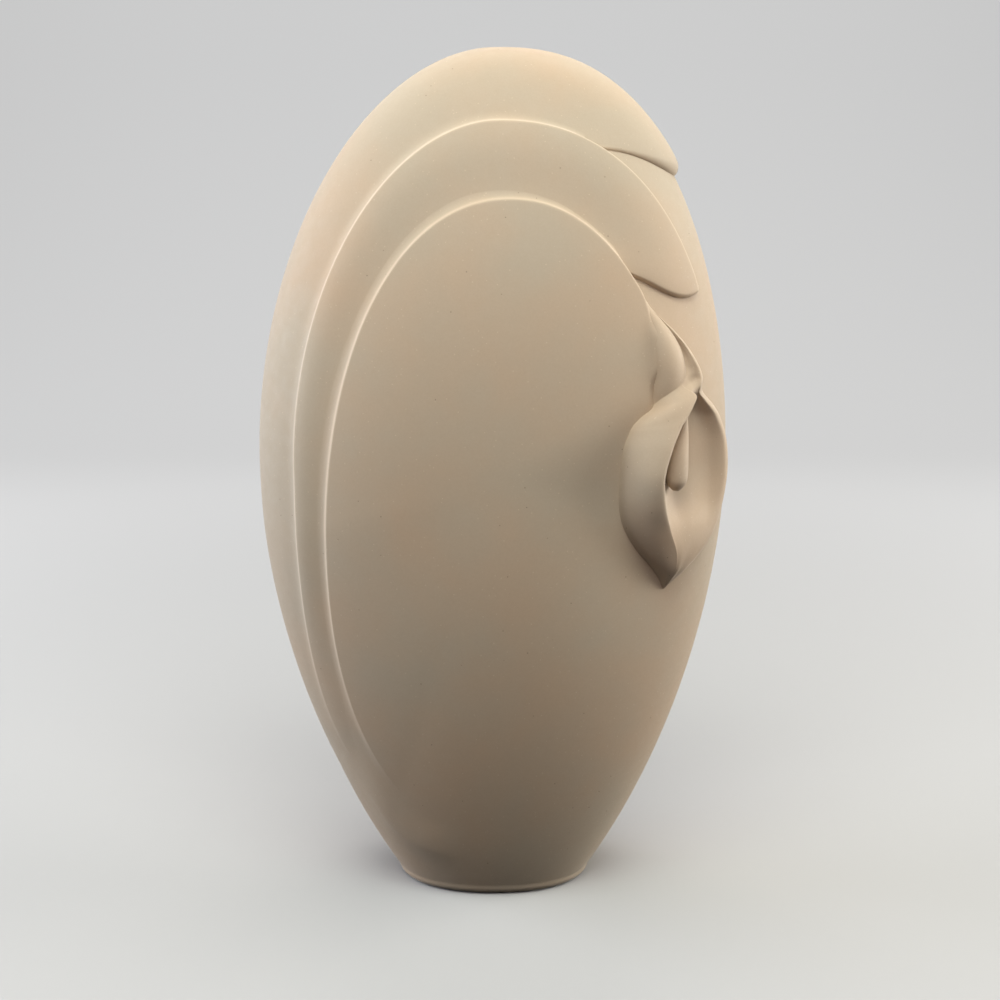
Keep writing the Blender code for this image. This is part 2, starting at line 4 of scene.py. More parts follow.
import bpy
import numpy as np
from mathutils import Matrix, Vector


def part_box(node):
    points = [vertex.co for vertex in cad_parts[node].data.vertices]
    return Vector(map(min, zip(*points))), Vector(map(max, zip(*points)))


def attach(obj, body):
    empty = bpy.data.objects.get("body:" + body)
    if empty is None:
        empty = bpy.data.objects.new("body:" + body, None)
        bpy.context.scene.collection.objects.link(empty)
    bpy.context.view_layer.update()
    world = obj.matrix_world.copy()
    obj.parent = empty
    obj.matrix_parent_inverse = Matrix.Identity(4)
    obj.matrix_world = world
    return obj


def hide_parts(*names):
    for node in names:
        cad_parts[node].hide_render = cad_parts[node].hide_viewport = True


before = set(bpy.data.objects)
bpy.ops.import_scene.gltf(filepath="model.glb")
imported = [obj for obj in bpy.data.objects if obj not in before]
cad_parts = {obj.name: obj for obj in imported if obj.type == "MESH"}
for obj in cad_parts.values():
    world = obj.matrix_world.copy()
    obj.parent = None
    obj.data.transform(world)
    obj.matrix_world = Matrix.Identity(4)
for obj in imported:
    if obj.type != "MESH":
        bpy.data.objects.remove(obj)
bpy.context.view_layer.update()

MM = 0.001

# Core: the oval that the body and the relief follow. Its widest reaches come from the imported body.
body_low, body_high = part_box("vessel_body")
CREST_Z = 377.5 * MM
WIDEST_Z = 200 * MM
CLOSING_DROP = 242 * MM  # from the widest height down to where the sides would meet, under the ground
LEFT = dict(reach=-body_low.x, upper=(1.87, 1.95), lower=(1.30, 2.00))
RIGHT = dict(reach=body_high.x, upper=(2.47, 2.02), lower=(1.34, 1.83))
DEPTH = dict(reach=(body_high.y - body_low.y) / 2, upper=(2.0, 2.0), lower=(1.5, 2.5))
SECTION_POWER = 2.2
CORE_Y = (body_low.y + body_high.y) / 2
SMALLEST_WIDTH = 1e-9  # keeps a share of the width finite at the crest's very top

# Shell, foot and mouth
WALL = 5.5 * MM
FOOT_ROUNDING = 4.5 * MM
FOOT_RING_WIDTH = 7 * MM
FOOT_RECESS = 2.5 * MM
RECESS_INSETS = (16 * MM, 6 * MM, 1.4 * MM)
RECESS_ROUNDING = 1.2 * MM
FOOT_RING_EASING = 0.5 * MM
FLOOR_Z = 9 * MM
FLOOR_ROUNDING = 7 * MM
FLOOR_INSET = 22 * MM
LEAST_ABOVE_FLOOR = 4 * MM  # from the floor's rounding to the wall's lowest inner ring
MOUTH_LEVEL = 376.6 * MM
MOUTH_TILT = math.radians(40)
MOUTH_TILT_STARTS_Z = 230 * MM

# Relief: ridges are ovals in front view, set in from the core's sides, its crest and the ground
FACE_CENTRE_Z = 200 * MM
OUTER_RIDGE = dict(x=2.5 * MM, z=202.4 * MM, left=20.1 * MM, right=8.4 * MM, top=31.5 * MM, bottom=35.4 * MM,
                   powers=(1.92, 2.23, 3.13))
INNER_RIDGE = dict(x=6.9 * MM, z=163.9 * MM, left=33.2 * MM, right=21.8 * MM, top=62.9 * MM, bottom=30.9 * MM,
                   powers=(2.14, 2.14, 2.31))

# Crease that carries the outer ridge's line on to the foot
CREASE_CLOCKS = (244.7, 250.9, 254.4, 257.3, 261, 264, 270)  # degrees round the face centre
CREASE_DISTANCES = (150, 164.5, 172.8, 176.5, 178.4, 179.3, 180.5)  # mm from the face centre
CREASE_STARTS, CREASE_ENDS = (245, 254), (259, 267)  # degrees over which it rises and falls
CREASE_LIFT = 0.9 * MM
CREASE_INNER_WIDTH = 18 * MM
CREASE_OUTER_WIDTH = 11 * MM
CREASE_OUTER_POWER = 1.6

# How far the leaves stand out from the core
RIDGE_LIFT = 4.4 * MM
VALLEY_LIFT = 1.5 * MM
PANEL_LIFT = 3.6 * MM
RIM_LIFT = 3.4 * MM
TIP_LIFT = 4.4 * MM
MIDDLE_TIP_LIFT = 2.8 * MM

# Hidden edges and the hollows beside the ridges
SUNK = 0.8 * MM  # how far a piece's hidden side lies inside what carries it
LEAST_TO_RIM = 2 * MM  # how far the inner two leaves stay inside the outline
HIDDEN_TO_RIM = 4 * MM  # how far the outer leaf's hidden edge does
UNDER_RIDGE = 1.5 * MM  # how far a leaf's hidden edge reaches in under the next leaf's ridge
RUN_UP = 7 * MM  # width of the hollow that runs up to a ridge
NARROW_RUN_UP = 2.6 * MM  # the same on the vase's right
RUN_UP_POWER = 3.0
SKIRT = 2 * MM  # how far a leaf's hidden edge goes on past its run up
MIDDLE_SKIRT_DIP, INNER_SKIRT_DIP = 0.2 * MM, 0.25 * MM

# Front leaf's edge beside the lily's neck
NECK_INSET = 12 * MM  # how far it draws back from the ridge's oval
NECK_RUN_OUT = 1 * MM  # how far its top stands out past that line
NECK_ROUNDING = 2.5 * MM

# Crests and edges, and the paler colour on them, which is partly painted highlight and partly paler worn clay
CREST_ROUNDING = 0.5 * MM
CREST_MARGIN = 0.2 * MM  # how far the two sides of a crest would meet above its height
HIGHLIGHT_AND_WEAR_OFFSET = 0.5 * MM  # from a ridge's line outwards to the middle of its paler colour, partly painted highlight and partly worn clay
HIGHLIGHT_AND_WEAR_WIDTH = 0.9 * MM
# The outer leaf's tip edge gets the same paler colour: partly painted highlight, partly worn clay
TIP_HIGHLIGHT_AND_WEAR_WIDTH = 1.2 * MM
TIP_HIGHLIGHT_AND_WEAR_SHARE = 0.5
EDGE_ROUNDING = 2.8 * MM
TIP_ROUNDING = 1.5 * MM
RIM_TIP_ROUNDING = 3 * MM  # more rounding of the outer leaf's tip towards the rim
TIP_ROLL = 11 * MM
TIP_ROLL_START = 0.62  # share of the full lift at which the roll starts

# Where the leaves end, as clock angles round the face centre
LEAF_WRAP = math.radians(19.8)  # how far round the rim the outer leaf goes
LIP_WRAP = math.radians(-3)  # the same beside the mouth
MOUTH_CLOCK, LIP_END_CLOCK = math.radians(4), math.radians(32)
TAIL_CLOCK = math.radians(246)
PANEL_TAIL_CLOCK = math.radians(254)
FADE_CLOCK = math.radians(196)
FADE_POWER = 1.4
OUTER_TIP = dict(clock=math.radians(57.8), spread=math.radians(16), power=2.6, reach=math.radians(40))
MIDDLE_TIP = dict(clock=math.radians(41.3), spread=math.radians(17.2), power=1.7, reach=math.radians(35))

# Stretches of clock angle, in degrees, over which something grows from nothing to full
RUN_UP_WIDENS = (66, 100)
NECK_ENDS = (42, 52)  # upwards, where the front leaf's soft edge beside the lily's neck ends
EDGE_RETURNS = (24, 53)  # upwards, where the drawn back edge comes back to the ridge's oval
EDGE_DRAWS_BACK = (-80, -30)
PANEL_RISES = (-20, 35)
# where the front leaf's paler crest colour begins: partly painted highlight, partly worn clay
PANEL_HIGHLIGHT_AND_WEAR_STARTS = (44, 54)
PAST_OUTER_TIP = (0.5, 5)  # past the outer leaf's tip, until it fully carries the middle leaf's edge
PAST_MIDDLE_TIP = (12, 22)  # past the middle leaf's tip, until it fully carries the front leaf's edge
TAIL_DIP = dict(depth=0.3 * MM, run=math.radians(12))

# Lily: heights in mm at its right side, then the left seat's turn, and the turn and lift of the fold, of the
# throat's floor and of the right rim, how many mm the section drops for each degree to the left, and how full
# its left side is. Turns are in degrees and lifts in mm.
LILY_SECTIONS = (
    (274.0, 53.6, 53.2, 0.4, 52.8, 0.8, 52.2, 0.6, 0.0, 0.0),
    (269.5, 53.8, 52.8, 2.0, 52.2, 2.8, 51.4, 3.8, 0.0, 0.0),
    (265.5, 53.6, 51.6, 2.4, 50.0, 3.6, 48.9, 4.8, 0.0, 0.0),
    (261.0, 53.5, 50.6, 2.6, 47.6, 4.4, 46.2, 6.0, 0.0, 0.0),
    (256.0, 53.4, 49.6, 2.6, 45.2, 5.6, 43.8, 7.6, 0.0, 0.0),
    (251.0, 53.2, 48.6, 2.8, 43.8, 6.4, 41.9, 8.8, 0.1, 0.0),
    (246.5, 52.6, 47.6, 6.0, 43.4, 7.2, 40.7, 10.0, 0.2, 0.2),
    (243.5, 52.5, 46.8, 8.6, 43.6, 8.2, 40.2, 10.6, 0.45, 0.4),
    (240.9, 53.0, 46.2, 9.7, 42.8, 9.0, 40.2, 11.2, 0.6, 0.6),
    (237.9, 54.4, 44.8, 12.5, 42.8, 11.2, 40.9, 11.6, 0.62, 0.85),
    (235.2, 58.1, 44.1, 13.9, 42.0, 9.8, 40.5, 10.2, 0.55, 0.85),
    (232.0, 59.9, 45.6, 14.6, 41.0, 6.8, 38.6, 9.9, 0.45, 0.75),
    (228.0, 60.9, 47.6, 15.1, 40.4, 5.0, 36.0, 10.0, 0.33, 0.6),
    (223.5, 61.6, 49.9, 15.8, 39.8, 4.5, 33.6, 10.0, 0.22, 0.4),
    (214.0, 62.7, 52.8, 17.2, 40.2, 4.0, 30.6, 10.0, 0.06, 0.15),
    (202.0, 63.0, 54.9, 17.8, 40.0, 4.0, 29.7, 10.0, 0.0, 0.05),
    (190.0, 62.8, 53.9, 16.2, 41.0, 6.0, 30.6, 9.7, 0.0, 0.0),
    (179.0, 61.0, 51.2, 13.4, 42.3, 9.8, 32.8, 9.5, 0.0, 0.0),
    (169.0, 56.8, 47.9, 11.2, 43.2, 10.3, 36.5, 9.0, 0.0, 0.0),
    (160.5, 51.2, 46.3, 8.8, 44.3, 8.5, 41.0, 7.4, 0.0, 0.0),
    (155.0, 47.8, 45.6, 4.6, 44.6, 4.6, 43.0, 4.2, 0.0, 0.0),
    (149.5, 45.2, 45.0, 0.3, 44.9, 0.3, 44.6, 0.2, 0.0, 0.0),
)
CROSSING_TURN = 41  # degrees, where the sections start to drop
LILY_ROOT = -3.0  # mm, the lift of the lily's hidden back
FACE_FILLS = (241, 249)  # mm, heights over which the hollow right face grows full, up to the stem

# Stem and spadix: height in mm, turn in degrees, lift and radius in mm
STEM_PATH = (
    (273.5, 53.8, 1.0, 1.8),
    (269.5, 52.9, 1.7, 2.6),
    (264.5, 51.4, 2.4, 3.9),
    (257.0, 49.6, 3.0, 6.2),
    (250.0, 48.4, 3.4, 7.4),
    (243.0, 47.9, 3.2, 7.7),
    (236.0, 48.6, 1.8, 7.4),
    (228.0, 50.4, -0.8, 5.8),
)
STEM_FLATNESS = 0.88
SPADIX_PATH = (
    (231.0, 45.4, 7.0, 1.6),
    (222.0, 46.3, 8.0, 2.8),
    (211.0, 48.0, 9.4, 4.2),
    (202.0, 48.7, 10.0, 4.6),
    (198.0, 48.8, 10.0, 3.8),
    (195.5, 48.8, 10.0, 1.6),
)

# The front leaf's small rise against the left side of the stem: its middle lies inside the stem's foot
STEM_RISE = dict(turn=math.radians(53.2), inside=2.6 * MM, width=3.2 * MM, lift=3.4 * MM,
                 bottom=(236 * MM, 246 * MM), top=(258 * MM, 270 * MM))

# Fineness of the meshes
LEVELS_BELOW, LEVELS_ABOVE = 150, 70
BODY_COLUMNS = 384
LEAF_STATIONS, TIP_STATIONS = 420, 26
PANEL_COLUMNS = 480
SPATHE_RINGS, SPATHE_COLUMNS = 220, 150
ROD_RINGS, ROD_COLUMNS = 90, 56
LIP_RINGS = 11
SMOOTH_ANGLE = math.radians(35)
CREST_ATTRIBUTE = "crest"

# Ceramic: linear colours and tints, sizes of the mottling, the grain and the patches of gloss, and specks
BODY_COLOUR = (0.43, 0.344, 0.25)
LEAF_COLOUR = (0.43, 0.344, 0.25)
# The lily's colour is a touch paler than the body's: painted light, for the lily lit from the front
LILY_PAINTED_LIGHTER_COLOUR = (0.45, 0.361, 0.264)
# The spadix's colour is a touch darker than the body's: painted shade, for the spadix lying in the throat's
# shade
SPADIX_PAINTED_SHADE_COLOUR = (0.42, 0.331, 0.24)
WARM_TINT, COOL_TINT = (1.05, 0.985, 0.95), (0.965, 1.0, 1.03)
MOTTLE = 60 * MM
GRAIN = 0.9 * MM
GLOSS_PATCH = 4 * MM
FINE_GRAIN = 0.55 * MM
FINE_GRAIN_DEPTH = 0.06 * MM
FINE_GRAIN_STRENGTH = 0.5
MOTTLE_RANGE = (0.35, 0.65)  # part of the noise's 0 to 1 in use
GRAIN_RANGE = (0.3, 0.7)  # the same for the grain and the patches of gloss
PALE_SPECKS = dict(spacing=3.2 * MM, share=0.10)
DARK_SPECKS = dict(spacing=7.5 * MM, share=0.045)
SPECK_MIDDLE = 0.6  # share of a speck's radius that has its full shade
GRAIN_SHADE, PALE_SHADE, DARK_SHADE, HIGHLIGHT_AND_WORN_SHADE = 0.72, 1.16, 0.55, 1.5  # next to the base colour; the last is the paler crest colour, partly painted highlight and partly worn clay
# How strongly the grain shows, and how strongly the painted highlight with worn clay shows along the crests
GRAIN_STRENGTH, HIGHLIGHT_AND_WEAR_STRENGTH = 0.12, 0.5
SMOOTHEST, ROUGHEST = 0.62, 0.78

# Studio, in metres, with linear tones
STAGE_FRONT, STAGE_BACK = -3.0, 1.2
STAGE_BEND = 0.8
STAGE_TOP = 3.5
STAGE_HALF_WIDTH = 4.0
PAPER_TONE = 0.44
DISTANT_SHARE = 0.45  # of the paper's tone that is left far from the vase, where it glows
PAPER_LIT = 0.02  # what the paper throws back on the vase
GLOW = 0.5  # what the camera sees far from the lamps, in place of their light
GLOW_STARTS, GLOW_FULL = 0.1, 1.1  # distances from the vase's foot
WORLD_FILL, WORLD_SHOWN = 0.01, 0.6  # on the vase, and where the camera sees past the stage

# Lamps: name, place, size, watts and colour
LAMPS = (
    ("left_side", (-1.5, 0.2, 0.28), (1.2, 1.5), 47, (0.88, 0.92, 1.0)),
    ("right_side", (1.5, 0.2, 0.28), (1.2, 1.5), 46, (1.0, 0.98, 0.93)),
    ("above_front", (0.0, -0.45, 1.0), (0.8, 0.4), 9, (0.94, 0.98, 0.9)),
    ("above_back", (0.0, 0.6, 1.3), (1.0, 0.5), 9, (1.0, 0.95, 0.9)),
    ("front", (0.0, -0.6, 0.6), (0.5, 0.3), 1.7, (1.0, 0.88, 0.88)),
)

# Camera, as fitted to the photograph's outline
CAMERA_PLACE = (2.7 * MM, CORE_Y - 0.66, 0.31)
CAMERA_PITCH = math.radians(11.142)
FIELD_OF_VIEW = math.radians(37.93)


def ease(value, start, end):
    """0 at start, 1 at end, with a smooth run between."""
    share = np.clip((value - start) / (end - start), 0, 1)
    return share * share * (3 - 2 * share)


def smooth_min(first, second, blend):
    """The lower of two values, rounded where they cross."""
    share = np.clip(0.5 + 0.5 * (second - first) / blend, 0, 1)
    return second * (1 - share) + first * share - blend * share * (1 - share)


def superellipse(share, powers):
    """An oval's half width at a share of its height, 1 at its foot and 0 at its top."""
    across, along = powers
    return (1 - np.clip(share, 0, 1) ** along) ** (1 / across)


def swell(side, z):
    """How far one side of the core stands out at height z."""
    upper = superellipse((z - WIDEST_Z) / (CREST_Z - WIDEST_Z), side["upper"])
    lower = superellipse((WIDEST_Z - z) / CLOSING_DROP, side["lower"])
    return side["reach"] * np.where(z >= WIDEST_Z, upper, lower)


def section(z):
    """Centre, half width and half depth of the core's oval at height z."""
    left, right = swell(LEFT, z), swell(RIGHT, z)
    return (right - left) / 2, (right + left) / 2, swell(DEPTH, z)


def oval_point(turn, z, inset=0.0):
    """A point of the core's section at height z. Turn 0 is the vase's right side and 90 degrees its front."""
    centre, width, depth = section(z)
    across = np.sign(np.cos(turn)) * np.abs(np.cos(turn)) ** (2 / SECTION_POWER)
    along = np.sign(np.sin(turn)) * np.abs(np.sin(turn)) ** (2 / SECTION_POWER)
    x = centre + (width - inset) * across
    y = CORE_Y - (depth - inset) * along
    return np.stack([x, y, z + 0 * turn], axis=-1)


def height_on_plane(turn, level, slope):
    """Where the core's meridian at this turn meets the plane that falls backwards by slope from level."""
    rise = CREST_Z - WIDEST_Z
    along = np.sign(np.sin(turn)) * np.abs(np.sin(turn)) ** (2 / SECTION_POWER)
    reach = slope * DEPTH["reach"] * along
    angle = np.arctan2(reach, rise) + np.arcsin((level - WIDEST_Z) / np.hypot(rise, reach))
    return WIDEST_Z + rise * np.sin(angle)


def face_point(x, z, behind):
    """The core's point at x and z in front view, on its front or, where behind is true, on its back."""
    centre, width, depth = section(z)
    across = np.clip(np.abs(x - centre) / np.maximum(width, SMALLEST_WIDTH), 0, 1)
    y = depth * (1 - across ** SECTION_POWER) ** (1 / SECTION_POWER)
    return np.stack([x, CORE_Y + np.where(behind, y, -y), z], axis=-1)


def outward(grid, closed):
    """Unit normals of a grid of points, pointing away from the core's axis."""
    down = np.gradient(grid, axis=0)
    if closed:
        along = np.roll(grid, -1, axis=1) - np.roll(grid, 1, axis=1)
    else:
        along = np.gradient(grid, axis=1)
    normal = np.cross(down, along)
    normal /= np.maximum(np.linalg.norm(normal, axis=-1, keepdims=True), 1e-12)
    away = grid - np.array([0, CORE_Y, WIDEST_Z])
    return normal * np.sign((normal * away).sum(axis=-1, keepdims=True))


def core_normal(turn, z):
    """The core's unit normal at this turn and height."""
    nudge_turn, nudge_z = 1e-4, 1e-5
    along = oval_point(turn + nudge_turn, z) - oval_point(turn - nudge_turn, z)
    upward = oval_point(turn, z + nudge_z) - oval_point(turn, z - nudge_z)
    normal = np.cross(along, upward)
    normal /= np.linalg.norm(normal, axis=-1, keepdims=True)
    outside = np.stack([np.cos(turn), -np.sin(turn), 0 * turn], axis=-1)
    return normal * np.sign((normal * outside).sum(axis=-1, keepdims=True))


def lifted_point(turn, z, lift):
    """The point that stands lift outside the core at this turn and height."""
    turn, z, lift = (np.asarray(value, float) for value in (turn, z, lift))
    return oval_point(turn, z) + core_normal(turn, z) * lift[..., None]


def run_through(rows, places):
    """A smooth cubic run through rows of values, sampled at places counted in rows."""
    rows = np.asarray(rows, float)
    slopes = np.gradient(rows, axis=0)
    before = np.clip(np.floor(places).astype(int), 0, len(rows) - 2)
    share = (places - before)[:, None]
    start, end = rows[before], rows[before + 1]
    leave, arrive = slopes[before], slopes[before + 1]
    return (
        start * (1 + 2 * share) * (1 - share) ** 2
        + leave * share * (1 - share) ** 2
        + end * share ** 2 * (3 - 2 * share)
        - arrive * share ** 2 * (1 - share)
    )


# Meshes

def new_piece(name, points, faces, material, highlight_and_wear=None):
    """A smooth mesh with its paler crest colour, partly painted highlight and partly worn clay, stored on its
    points.
    """
    mesh = bpy.data.meshes.new(name)
    mesh.from_pydata([tuple(float(value) for value in point) for point in points], [], faces)
    mesh.materials.append(material)
    stored = mesh.attributes.new(CREST_ATTRIBUTE, "FLOAT", "POINT")
    values = np.zeros(len(points)) if highlight_and_wear is None else np.asarray(highlight_and_wear, float)
    stored.data.foreach_set("value", values.astype(np.float32))
    piece = bpy.data.objects.new(name, mesh)
    bpy.context.scene.collection.objects.link(piece)
    bpy.ops.object.select_all(action="DESELECT")
    bpy.context.view_layer.objects.active = piece
    piece.select_set(True)
    bpy.ops.object.mode_set(mode="EDIT")
    bpy.ops.mesh.select_all(action="SELECT")
    bpy.ops.mesh.normals_make_consistent(inside=False)
    bpy.ops.object.mode_set(mode="OBJECT")
    bpy.ops.object.shade_smooth_by_angle(angle=SMOOTH_ANGLE)
    piece.select_set(False)
    return piece


def tube_faces(rings, columns):
    """Quads between closed rings of points that follow one another."""
    return [
        (
            ring * columns + column,
            ring * columns + (column + 1) % columns,
            (ring + 1) * columns + (column + 1) % columns,
            (ring + 1) * columns + column,
        )
        for ring in range(rings - 1)
        for column in range(columns)
    ]


def capped_tube(name, rings, material, highlight_and_wear=None):
    """A closed piece from a run of closed rings, each end closed by a fan to its middle."""
    rings = np.asarray(rings)
    count, columns = rings.shape[:2]
    points = list(rings.reshape(-1, 3)) + [rings[0].mean(axis=0), rings[-1].mean(axis=0)]
    faces = tube_faces(count, columns)
    for middle, start in ((count * columns, 0), (count * columns + 1, (count - 1) * columns)):
        faces += [(middle, start + column, start + (column + 1) % columns) for column in range(columns)]
    if highlight_and_wear is not None:
        highlight_and_wear = list(np.asarray(highlight_and_wear).reshape(-1)) + [0, 0]
    return new_piece(name, points, faces, material, highlight_and_wear)


def sheet_piece(name, over, under, material, highlight_and_wear=None):
    """A closed piece between two grids of points with the same rows and columns."""
    rows, columns = over.shape[:2]
    top = np.arange(rows * columns).reshape(rows, columns)
    bottom = top + rows * columns
    faces = []
    for row in range(rows - 1):
        for column in range(columns - 1):
            corners = ((row, column), (row, column + 1), (row + 1, column + 1), (row + 1, column))
            faces.append([top[corner] for corner in corners])
            faces.append([bottom[corner] for corner in (corners[0], *corners[:0:-1])])
    rim = [(0, column) for column in range(columns)]
    rim += [(row, columns - 1) for row in range(1, rows)]
    rim += [(rows - 1, column) for column in range(columns - 2, -1, -1)]
    rim += [(row, 0) for row in range(rows - 2, 0, -1)]
    for first, second in zip(rim, rim[1:] + rim[:1]):
        faces.append((top[first], bottom[first], bottom[second], top[second]))
    faces = [tuple(int(corner) for corner in face) for face in faces]
    points = np.concatenate([over.reshape(-1, 3), under.reshape(-1, 3)])
    if highlight_and_wear is not None:
        highlight_and_wear = np.concatenate([highlight_and_wear.reshape(-1), np.zeros(rows * columns)])
    return new_piece(name, points, faces, material, highlight_and_wear)


def dress(piece, nodes):
    """Hangs a piece on the frame in place of its CAD nodes."""
    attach(piece, "root")
    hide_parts(*nodes)


# Body

def body_levels():
    """Heights of the outer rings, closer together towards the mouth."""
    low = np.linspace(FOOT_ROUNDING, WIDEST_Z, LEVELS_BELOW)
    top = math.asin((MOUTH_LEVEL - WIDEST_Z) / (CREST_Z - WIDEST_Z))
    high = WIDEST_Z + (CREST_Z - WIDEST_Z) * np.sin(np.linspace(0, top, LEVELS_ABOVE))
    return np.concatenate([low, high[1:]])


def body_rings(turns, levels):
    """The core's outer rings. They tilt more and more, up to the mouth's own plane."""
    rings = []
    for level in levels:
        slope = math.tan(MOUTH_TILT) * float(ease(level, MOUTH_TILT_STARTS_Z, MOUTH_LEVEL))
        z = height_on_plane(turns, level, slope) if slope else np.full_like(turns, level)
        rings.append(oval_point(turns, z))
    return np.array(rings)


def rounded_lip(outer, normals):
    """Rings that round the lip over, from the outer wall to the inner one."""
    normal = normals[-1]
    upward = np.broadcast_to([0, math.sin(MOUTH_TILT), math.cos(MOUTH_TILT)], normal.shape)
    upward = upward - normal * (upward * normal).sum(axis=-1, keepdims=True)
    upward /= np.linalg.norm(upward, axis=-1, keepdims=True)
    middle = outer[-1] - normal * WALL / 2
    angles = np.linspace(0, math.pi, LIP_RINGS + 2)[1:-1]
    return [middle + WALL / 2 * (normal * math.cos(angle) + upward * math.sin(angle)) for angle in angles]


def oval_ring(turns, z, inset):
    """A ring at height z whose outline is the foot's, drawn in by inset."""
    ring = oval_point(turns, np.full_like(turns, FOOT_ROUNDING), inset)
    ring[:, 2] = z
    return ring


def foot_rings(turns):
    """Rings from the middle of the recessed underside out to the foot ring and up its rounded corner."""
    flat = FOOT_ROUNDING + FOOT_RING_WIDTH
    recess = [oval_ring(turns, FOOT_RECESS, flat + inset) for inset in RECESS_INSETS]
    recess += [
        oval_ring(turns, FOOT_RECESS * (1 - math.sin(angle)), flat + RECESS_ROUNDING * math.cos(angle))
        for angle in np.radians([20, 45, 70])
    ]
    flat_ring = [oval_ring(turns, 0, flat - FOOT_RING_EASING), oval_ring(turns, 0, FOOT_ROUNDING)]
    corner = [
        oval_ring(turns, FOOT_ROUNDING * (1 - math.cos(angle)), FOOT_ROUNDING * (1 - math.sin(angle)))
        for angle in np.radians(np.arange(10, 90, 10))
    ]
    return recess + flat_ring + corner


def floor_rings(turns):
    """Rings of the inside from where its wall meets the floor's rounding to near the floor's middle."""
    rings = []
    for angle in np.radians([15, 30, 45, 60, 75, 90]):
        inset = WALL + FLOOR_ROUNDING * (1 - math.cos(angle))
        ring = oval_point(turns, np.full_like(turns, FLOOR_Z + FLOOR_ROUNDING), inset)
        ring[:, 2] = FLOOR_Z + FLOOR_ROUNDING * (1 - math.sin(angle))
        rings.append(ring)
    last = oval_point(turns, np.full_like(turns, FLOOR_Z + FLOOR_ROUNDING), WALL + FLOOR_INSET)
    last[:, 2] = FLOOR_Z
    return rings + [last]


def foot_crease(points):
    """Lift of the soft crease that carries the outer ridge's line on, across the lower left to the foot."""
    x, z = points[..., 0], points[..., 2] - FACE_CENTRE_Z
    clock = np.degrees(np.arctan2(z, x)) % 360
    inside = np.interp(clock, CREASE_CLOCKS, CREASE_DISTANCES) * MM - np.hypot(x, z)
    strength = ease(clock, *CREASE_STARTS) * (1 - ease(clock, *CREASE_ENDS)) * (points[..., 1] < CORE_Y)
    falling = np.clip(1 + inside / CREASE_OUTER_WIDTH, 0, 1) ** CREASE_OUTER_POWER
    return CREASE_LIFT * strength * np.where(inside > 0, 1 - ease(inside, 0, CREASE_INNER_WIDTH), falling)


def make_body(material):
    """The hollow body. Its inside is fine near the mouth, where it shows, and coarser below."""
    turns = np.linspace(0, 2 * math.pi, BODY_COLUMNS, endpoint=False)
    levels = body_levels()
    outer = body_rings(turns, levels)
    normals = outward(outer, closed=True)
    outer = outer + normals * foot_crease(outer)[..., None]
    inner = outer - normals * WALL
    wall_foot = FLOOR_Z + FLOOR_ROUNDING + LEAST_ABOVE_FLOOR
    inside = [ring for ring, level in zip(inner, levels) if level > wall_foot][::-1]
    fine_rings, coarse_step = 16, 4
    downwards = inside[:fine_rings] + inside[fine_rings::coarse_step]
    rings = foot_rings(turns) + list(outer) + rounded_lip(outer, normals) + downwards + floor_rings(turns)
    return capped_tube("ware_body", rings, material)


# Relief leaves

def oval_gauge(oval, x, z):
    """Below 1 inside the oval, 1 on it, above 1 outside."""
    across, along = x - oval["x"], z - oval["z"]
    upper_left, right, lower_left = oval["powers"]
    to_left = LEFT["reach"] + oval["x"] - oval["left"]
    to_right = RIGHT["reach"] - oval["x"] - oval["right"]
    half_width = np.where(across < 0, to_left, to_right)
    half_height = np.where(along > 0, CREST_Z - oval["top"] - oval["z"], oval["z"] - oval["bottom"])
    power = np.where(across >= 0, right, np.where(along > 0, upper_left, lower_left))
    return (np.abs(across) / half_width) ** power + (np.abs(along) / half_height) ** power


def rim_gauge(x, z):
    """The same for the core's outline in front view."""
    highest = CREST_Z - 1e-6
    centre, width, _ = section(np.clip(z, 0, highest))
    return np.where(z >= highest, 2, np.abs(x - centre) / np.maximum(width, SMALLEST_WIDTH))


def distance_to(gauge, clock):
    """How far from the face centre a ray at this clock angle meets the gauge's outline."""
    near, far = np.zeros_like(clock), np.full_like(clock, 300 * MM)
    for _ in range(40):  # halvings
        middle = (near + far) / 2
        inside = gauge(middle * np.cos(clock), FACE_CENTRE_Z + middle * np.sin(clock)) < 1
        near, far = np.where(inside, middle, near), np.where(inside, far, middle)
    return near


def ridge_distance(oval, clock):
    """How far out a ridge's line lies at this clock angle."""
    return distance_to(lambda x, z: oval_gauge(oval, x, z), clock)


def panel_distance(clock):
    """The front leaf's edge: the inner ridge's oval, drawn back beside and below the lily's neck."""
    turned = np.degrees(clock)
    drawn = (1 - ease(turned, *EDGE_RETURNS)) * ease(turned, *EDGE_DRAWS_BACK)
    return ridge_distance(INNER_RIDGE, clock) - NECK_INSET * drawn


def rim_distance(clock):
    """How far out the core's outline lies at this clock angle."""
    return distance_to(rim_gauge, clock)


def on_face(clock, distance, behind=False):
    """The core's point at this clock angle and distance from the face centre."""
    return face_point(distance * np.cos(clock), FACE_CENTRE_Z + distance * np.sin(clock), behind)


def fade(clock, tail=TAIL_CLOCK):
    """1 along most of a leaf and 0 at its tail."""
    return 1 - np.clip((clock - FADE_CLOCK) / (tail - FADE_CLOCK), 0, 1) ** FADE_POWER


def shoulder(distance, radius):
    """A quarter round: 0 at the edge, 1 from radius inwards."""
    return np.sqrt(1 - (1 - np.clip(distance / radius, 0, 1)) ** 2)


def tip_edge(distance, radius):
    """A leaf's tip: a soft roll over its last stretch, then the rounding of its edge."""
    return shoulder(distance, radius) * (TIP_ROLL_START + (1 - TIP_ROLL_START) * shoulder(distance, TIP_ROLL))


